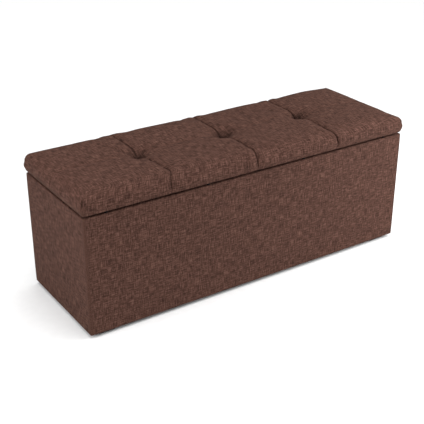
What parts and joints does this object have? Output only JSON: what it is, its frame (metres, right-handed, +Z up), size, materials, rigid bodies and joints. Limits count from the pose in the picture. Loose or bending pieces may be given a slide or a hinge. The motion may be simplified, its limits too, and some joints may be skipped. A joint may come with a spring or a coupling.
{
  "type": "storage bench",
  "caption": "Long upholstered storage bench: fabric-covered box on low feet, with a tufted padded lid hinged along the back and held open by slotted stays.",
  "frame": {"origin": "on the floor, under the middle of the bench", "axes": "+X along the bench's length to the right as seen from the front, +Y to the back, +Z up"},
  "size_m": [1.2, 0.4043, 0.46],
  "materials": {
    "upholstery": "matte",
    "foam": "matte",
    "lining": "matte",
    "twine": "matte",
    "board": "matte",
    "post": "matte",
    "foot_plastic": "matte",
    "bumper_rubber": "matte",
    "zinc_steel": "satin",
    "staple_steel": "satin",
    "yellow_zinc": "satin"
  },
  "bodies": {
    "box": {"front_panel": "board", "back_panel": "board", "left_end_panel": "board", "right_end_panel": "board", "bottom_panel": "board", "wall_screws": "yellow_zinc", "bottom_screws": "yellow_zinc", "body_cover": "upholstery", "lining_walls": "lining", "lining_floor": "lining", "dust_cover": "lining", "dust_cover_staples": "staple_steel", "foot_screws": "zinc_steel", "rim_bumpers": "bumper_rubber", "hinge_rim_screws": "zinc_steel", "stay_stud_screws": "zinc_steel", "corner_post_front_left": "post", "foot_front_left": "foot_plastic", "corner_post_front_right": "post", "foot_front_right": "foot_plastic", "corner_post_back_left": "post", "foot_back_left": "foot_plastic", "corner_post_back_right": "post", "foot_back_right": "foot_plastic", "hinge_left_lower_leaf": "zinc_steel", "hinge_left_pin": "zinc_steel", "hinge_center_lower_leaf": "zinc_steel", "hinge_center_pin": "zinc_steel", "hinge_right_lower_leaf": "zinc_steel", "hinge_right_pin": "zinc_steel", "stay_left_stud_plate": "zinc_steel", "stay_left_nut": "zinc_steel", "stay_right_stud_plate": "zinc_steel", "stay_right_nut": "zinc_steel"},
    "lid": {"lid_board": "board", "lid_foam": "foam", "lid_cover": "upholstery", "lid_lining": "lining", "lid_lining_staples": "staple_steel", "tuft_washers": "zinc_steel", "tuft_twines": "twine", "hinge_lid_screws": "zinc_steel", "stay_lid_screws": "zinc_steel", "button_left": "upholstery", "hinge_left_upper_leaf": "zinc_steel", "button_center": "upholstery", "hinge_center_upper_leaf": "zinc_steel", "button_right": "upholstery", "hinge_right_upper_leaf": "zinc_steel", "stay_left_lid_bracket": "zinc_steel", "stay_left_rivet": "zinc_steel", "stay_right_lid_bracket": "zinc_steel", "stay_right_rivet": "zinc_steel"},
    "left_stay": {"stay_left_arm": "zinc_steel"},
    "right_stay": {"stay_right_arm": "zinc_steel"}
  },
  "joints": [
    {"name": "lid_hinge", "type": "hinge", "parent": "box", "child": "lid", "pos_m": [0, 0.1999, 0.3934], "axis": [-1, 0, 0], "range_deg": [0, 92]},
    {"name": "left_stay_pivot", "type": "hinge", "parent": "lid", "child": "left_stay", "pos_m": [-0.5715, 0.03012, 0.3848], "axis": [-1, 0, 0], "range_deg": [-46, 0]},
    {"name": "right_stay_pivot", "type": "hinge", "parent": "lid", "child": "right_stay", "pos_m": [0.5715, 0.03012, 0.3848], "axis": [-1, 0, 0], "range_deg": [-46, 0]}
  ],
  "couplings": [
    {"joint": "left_stay_pivot", "follows": "lid_hinge", "ratio": -0.5},
    {"joint": "right_stay_pivot", "follows": "lid_hinge", "ratio": -0.5}
  ]
}
